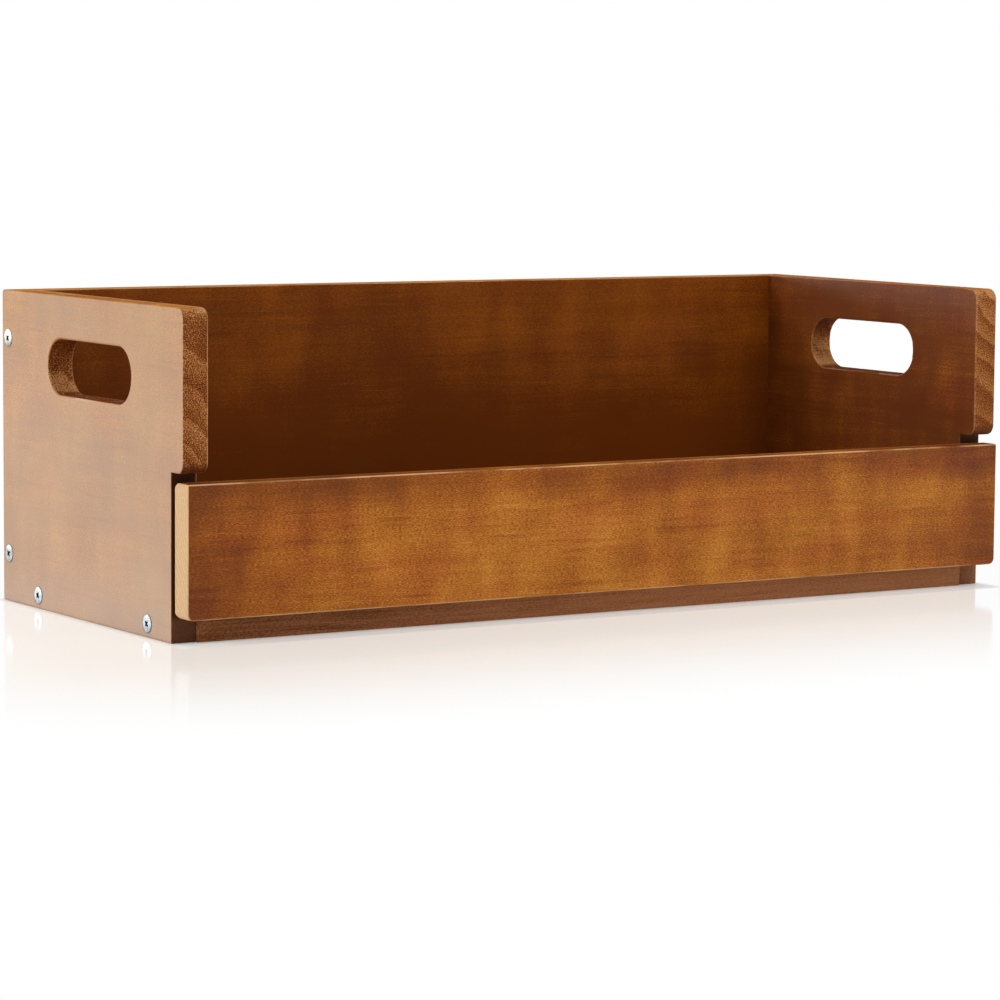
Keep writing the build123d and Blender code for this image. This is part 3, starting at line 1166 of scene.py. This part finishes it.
class Stage(bpy.types.Operator):
    """Camera, lamps, world and floor"""

    bl_idname = "disc_box.stage"
    bl_label = "Stage"

    # Lamps: where each stands, its width and height, and its power in watts; all face the box
    LAMPS = {
        "key": ((-1.67, -1.04, 0.35), (0.5, 0.5), 7.5),
        "low": ((1.60, -0.90, 0.20), (0.6, 0.4), 4.0),
        "left": ((-2.00, 0.50, 0.70), (0.8, 0.8), 21.0),
        "sheen": ((-1.50, 2.30, 0.25), (2.2, 0.5), 15.0),
        "fill": ((0.30, -1.30, 1.40), (1.2, 0.8), 20.0),
        "top": ((-0.2, 0.90, 1.45), (1.6, 1.0), 12.0),
    }
    WHITE = (1, 1, 1, 1)

    # Between which shares of its radius the floor fades into the background
    FADE_BAND = (0.45, 0.95)

    def execute(self, context):
        studio = context.scene.disc_box_studio
        context.scene.view_settings.view_transform = "Standard"
        self.camera(context, studio)
        for name, (place, size, power) in self.LAMPS.items():
            self.lamp(name, Vector(place), size, power)
        self.world(context, studio)
        self.floor(studio)
        return {"FINISHED"}

    def camera(self, context, studio):
        """The camera at the photograph's viewing angle."""
        flat = math.cos(studio.elevation)
        back = Vector((
            -math.sin(studio.azimuth) * flat, -math.cos(studio.azimuth) * flat, math.sin(studio.elevation)))
        bpy.ops.object.camera_add(location=Vector(studio.aim) + back * studio.distance)
        camera = context.object
        camera.rotation_mode = "QUATERNION"
        camera.rotation_quaternion = (-back).to_track_quat("-Z", "Y") @ Quaternion((0, 0, 1), studio.roll)
        camera.data.lens = studio.lens
        context.scene.camera = camera

    def lamp(self, name, place, size, power):
        """One soft lamp that faces the box."""
        bpy.ops.object.light_add(type="AREA", location=place)
        lamp = bpy.context.object
        lamp.name = f"{name}_lamp"
        lamp.rotation_mode = "QUATERNION"
        middle = (CAD_BOX[0] + CAD_BOX[1]) / 2
        lamp.rotation_quaternion = (middle - place).to_track_quat("-Z", "Y")
        lamp.data.shape = "RECTANGLE"
        lamp.data.size, lamp.data.size_y = size
        lamp.data.energy = power
        lamp.visible_camera = False

    def seen(self, web):
        """1 for rays from the camera, a mirror or glass, 0 for rays that light the object."""
        path = [web.add("ShaderNodeLightPath", {}, output=name)
                for name in ("Is Camera Ray", "Is Glossy Ray", "Is Transmission Ray")]
        return path[0].math("MAXIMUM", path[1]).math("MAXIMUM", path[2])

    def world(self, context, studio):
        """White to look at, dimmer as a light."""
        world = bpy.data.worlds.new("studio_white")
        context.scene.world = world
        web = Web(world)
        seen = self.seen(web)
        strength = studio.ambient + (1 - studio.ambient) * seen
        light = web.add("ShaderNodeBackground", {}, {"Color": self.WHITE, "Strength": strength})
        web.add("ShaderNodeOutputWorld", {}, [light])

    def away(self, web, place):
        """How far a place of the floor lies from the box's footprint."""
        half = (CAD_BOX[1] - CAD_BOX[0]) / 2
        past = web.vector("SUBTRACT", web.vector("ABSOLUTE", place), (half.x, half.y, 0))
        return web.vector("LENGTH", web.vector("MAXIMUM", past, (0, 0, 0)))

    def floor(self, studio):
        """A pale floor that mirrors the box close to it and fades into the white background."""
        deselect_all()
        bpy.ops.mesh.primitive_circle_add(
            vertices=FLOOR_SIDES, radius=studio.floor_radius, fill_type="NGON")
        floor = name_piece("floor")
        material, web = new_material("pale_floor")
        place = web.add("ShaderNodeTexCoord", {}, output="Object")
        seen = self.seen(web)
        away = self.away(web, place)
        near = 1 - web.between(away, 0.0, studio.floor_near)
        contact = 1 - web.between(away, 0.0, studio.contact_reach)
        matt = web.add("ShaderNodeBsdfDiffuse", {}, {"Color": (*studio.floor_tint, 1)})
        white = web.add("ShaderNodeEmission", {}, {"Color": self.WHITE, "Strength": 1.0})
        tint = studio.floor_mirror
        mirror = web.add("ShaderNodeBsdfGlossy", {}, {"Color": (*tint, 1), "Roughness": studio.floor_rough})
        unmirrored = [1 - part for part in tint]
        rest = web.add("ShaderNodeEmission", {}, {"Color": (*unmirrored, 1), "Strength": 1.0})
        polished = web.add("ShaderNodeAddShader", {}, [mirror, rest])
        matt_share = studio.floor_matt + studio.floor_contact * contact
        close = web.add("ShaderNodeMixShader", {}, [matt_share, polished, matt])
        shown = web.add("ShaderNodeMixShader", {}, [near, white, close])
        plain = web.add("ShaderNodeMixShader", {}, [seen, matt, shown])
        reach = web.vector("LENGTH", place)
        fade = web.between(reach, *(part * studio.floor_radius for part in self.FADE_BAND))
        clear = web.add("ShaderNodeBsdfTransparent", {}, {"Color": self.WHITE})
        whole = web.add("ShaderNodeMixShader", {}, [fade, plain, clear])
        web.add("ShaderNodeOutputMaterial", {}, [whole])
        floor.data.materials.append(material)


class DiscBoxPanel(bpy.types.Panel):
    """Lists the box's pieces and their sizes"""

    bl_idname = "VIEW3D_PT_disc_box"
    bl_label = "Disc box"
    bl_space_type = "VIEW_3D"
    bl_region_type = "UI"
    bl_category = "Disc Box"

    def draw(self, context):
        for operator in OPERATORS:
            self.layout.operator(operator.bl_idname)
        for name, group in SETTINGS.items():
            box = self.layout.box()
            for field in group.__annotations__:
                box.prop(getattr(context.scene, name), field)


SETTINGS = {
    "disc_box_boards": BoardShape,
    "disc_box_screws": ScrewShape,
    "disc_box_stain": WoodStain,
    "disc_box_plating": Plating,
    "disc_box_studio": Studio,
}
OPERATORS = (SideBoards, Panels, FrontBoard, Screws, Dowels, Stage)
CLASSES = (*SETTINGS.values(), *OPERATORS, DiscBoxPanel)


def register():
    for item in CLASSES:
        bpy.utils.register_class(item)
    for name, group in SETTINGS.items():
        setattr(bpy.types.Scene, name, bpy.props.PointerProperty(type=group))


def unregister():
    for name in SETTINGS:
        delattr(bpy.types.Scene, name)
    for item in reversed(CLASSES):
        bpy.utils.unregister_class(item)


def main():
    """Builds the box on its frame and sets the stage."""
    register()
    bpy.ops.disc_box.side_boards()
    bpy.ops.disc_box.panels()
    bpy.ops.disc_box.front_board()
    bpy.ops.disc_box.screws()
    bpy.ops.disc_box.dowels()
    bpy.ops.disc_box.stage()


if __name__ == "__main__":
    main()
